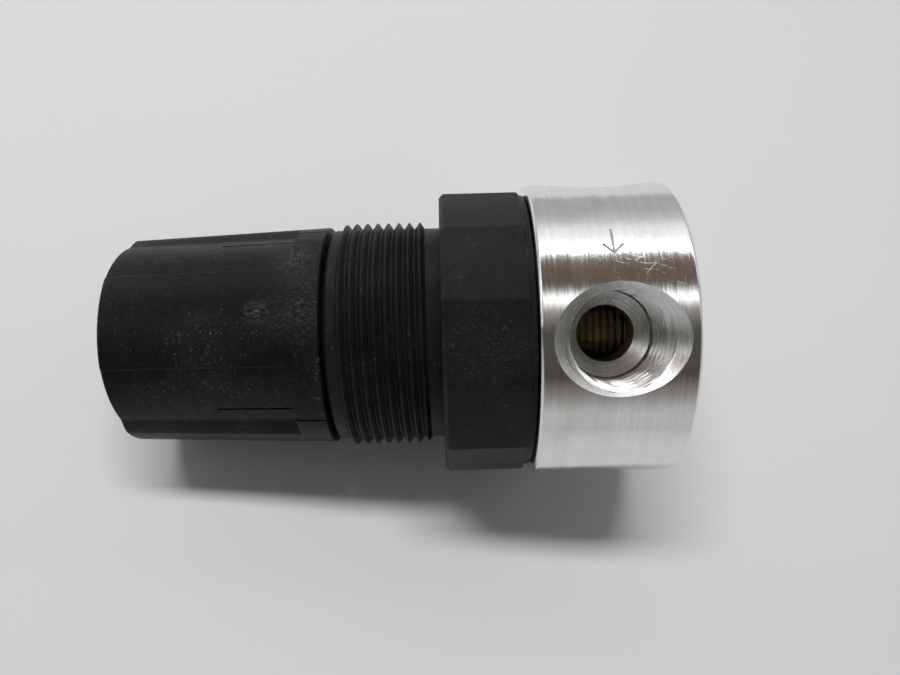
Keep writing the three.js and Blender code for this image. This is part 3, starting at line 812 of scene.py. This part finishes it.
# the springs and the rubber: copies with meshes of their own, attached to the same bodies, and the CAD nodes hidden
for n, joint, travel in (("range_spring", "nut_travel", 5.0), ("valve_spring", "valve_travel", 0.8), ("diaphragm", "diaphragm_travel", 0.8)):
    src = frame["nodes"][n]
    coil = bpy.data.objects.new("coil_" + n, src.data.copy())
    coil.matrix_world = src.matrix_world.copy()
    scene.collection.objects.link(coil)
    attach(coil, body_of(src)[0])
    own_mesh(coil)
    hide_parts(n)

# ------------------------------------------------------------------ table, light
deg = math.radians
az_n = AZ_CAM + deg(20)
n_rad = Vector((math.cos(az_n), math.sin(az_n), 0))
N = (n_rad * 0.9937 - Vector((0, 0, 1)) * 0.1118).normalized()
foot = -n_rad * 20.65 * MM + Vector((0, 0, 19.2 * MM))
ex = (Vector((0, 0, 1)) - N * N.z).normalized()
ey = N.cross(ex).normalized()
S = 0.24
table = make("table", [foot + ex * a * S + ey * b * S - N * 0.0002 for a, b in ((-1, -1), (1, -1), (1, 1), (-1, 1))], [(0, 1, 2, 3)])
if table.data.polygons[0].normal.dot(N) < 0:
    table.data.flip_normals()
T = Mat("table_paper")
tn = T.noise((6, 6, 6), detail=3)
tc = T.ramp(tn, [(0.3, (0.728, 0.730, 0.728)), (0.7, (0.758, 0.760, 0.758))])
T.set(color=tc, rough=0.6, spec=0.3)
geo = T.n("ShaderNodeNewGeometry")
clear = T.n("ShaderNodeBsdfTransparent")
mixs = T.n("ShaderNodeMixShader")
T.link(geo.outputs["Backfacing"], mixs.inputs[0])
T.link(T.bsdf.outputs[0], mixs.inputs[1])
T.link(clear.outputs[0], mixs.inputs[2])
T.link(mixs.outputs[0], T.t.nodes["Material Output"].inputs["Surface"])
table.data.materials.append(T.m)
table.visible_shadow = False


def area(name, direction, dist, size, power, color=(1, 1, 1), target=Vector((0, 0, 0.035))):
    ld = bpy.data.lights.new(name, "AREA")
    ld.shape, ld.size, ld.size_y = "RECTANGLE", size[0], size[1]
    ld.energy, ld.color = power, color
    ob = bpy.data.objects.new(name, ld)
    ob.location = target + direction.normalized() * dist
    ob.rotation_mode = "QUATERNION"
    z = direction.normalized()
    x = (Vector((0, 0, 1)) - z * z.z).normalized()
    ob.rotation_quaternion = basis(x, z.cross(x), z, (0, 0, 0)).to_quaternion()
    scene.collection.objects.link(ob)
    return ob


def dirn(alpha, elev):
    """Direction at angle alpha round the axis from the camera (image-up positive), elev toward the knob."""
    a = AZ_CAM + deg(alpha)
    return Vector((math.cos(a) * math.cos(deg(elev)), math.sin(a) * math.cos(deg(elev)), math.sin(deg(elev))))


key = area("key", dirn(38, 0), 0.55, (0.36, 0.070), 2.38)
key.visible_glossy = False

world = bpy.data.worlds.new("studio")
scene.world = world
world.use_nodes = True
wt = world.node_tree
bg = wt.nodes["Background"]
tcw = wt.nodes.new("ShaderNodeTexCoord")
mp = wt.nodes.new("ShaderNodeMapping")
mp.vector_type = "POINT"
mp.inputs["Rotation"].default_value = (0, 0, -AZ_CAM)
sepw = wt.nodes.new("ShaderNodeSeparateXYZ")
at = wt.nodes.new("ShaderNodeMath"); at.operation = "ARCTAN2"
ml = wt.nodes.new("ShaderNodeMath"); ml.operation = "MULTIPLY_ADD"
ml.inputs[1].default_value = 1 / (2 * math.pi)
ml.inputs[2].default_value = 0.5
rp = wt.nodes.new("ShaderNodeValToRGB")
wt.links.new(tcw.outputs["Generated"], mp.inputs["Vector"])
wt.links.new(mp.outputs["Vector"], sepw.inputs[0])
wt.links.new(sepw.outputs["Y"], at.inputs[0])
wt.links.new(sepw.outputs["X"], at.inputs[1])
wt.links.new(at.outputs[0], ml.inputs[0])
wt.links.new(ml.outputs[0], rp.inputs["Fac"])
bands = [(-180, 0.30), (-135, (0.10, 0.09, 0.083)), (-121, 0.33), (-109, 0.45), (-80, 0.50), (-65, 0.475), (-57.6, (0.34, 0.32, 0.31)),
         (-50.5, (0.23, 0.21, 0.20)), (-43.6, (0.15, 0.145, 0.13)), (-37, (0.067, 0.059, 0.052)), (-30, (0.08, 0.075, 0.06)), (-4.5, (0.075, 0.075, 0.058)),
         (1.8, (0.122, 0.117, 0.10)), (8.2, (0.225, 0.21, 0.19)), (14.6, (0.34, 0.32, 0.29)), (19.5, 1.5), (23.5, 1.5), (27, (0.49, 0.475, 0.45)),
         (30.5, (0.117, 0.087, 0.066)), (50.5, (0.15, 0.108, 0.086)), (55.5, (0.28, 0.25, 0.23)), (58.5, 0.9), (60.5, 5.0), (64.0, 5.0), (66.0, 1.1),
         (80, 0.95), (88, 0.60), (94, 0.50), (104, 0.44), (128, 0.42), (146, 0.46), (180, 0.30)]
assert len(bands) <= 32
el = rp.color_ramp.elements
while len(el) > 1:
    el.remove(el[0])
first = True
for a, c in bands:
    c = (c, c, c, 1) if not hasattr(c, "__len__") else (*c, 1)
    p = 0.5 + a / 360
    if first:
        el[0].position, el[0].color = p, c
        first = False
    else:
        e = el.new(p)
        e.color = c
# the room is dimmer as fill light than in reflections, and plain where nothing stands before it
lp = wt.nodes.new("ShaderNodeLightPath")


def wmix(fac, a, b):
    x = wt.nodes.new("ShaderNodeMix")
    x.data_type = "RGBA"
    wt.links.new(fac, x.inputs[0])
    wt.links.new(a, x.inputs[6])
    x.inputs[7].default_value = b
    return x.outputs[2]


wc = wmix(lp.outputs["Is Diffuse Ray"], rp.outputs["Color"], (0.150, 0.150, 0.152, 1))
wc = wmix(lp.outputs["Is Camera Ray"], wc, (0.62, 0.62, 0.62, 1))
wt.links.new(wc, bg.inputs["Color"])
bg.inputs["Strength"].default_value = 1.0

bpy.context.view_layer.update()
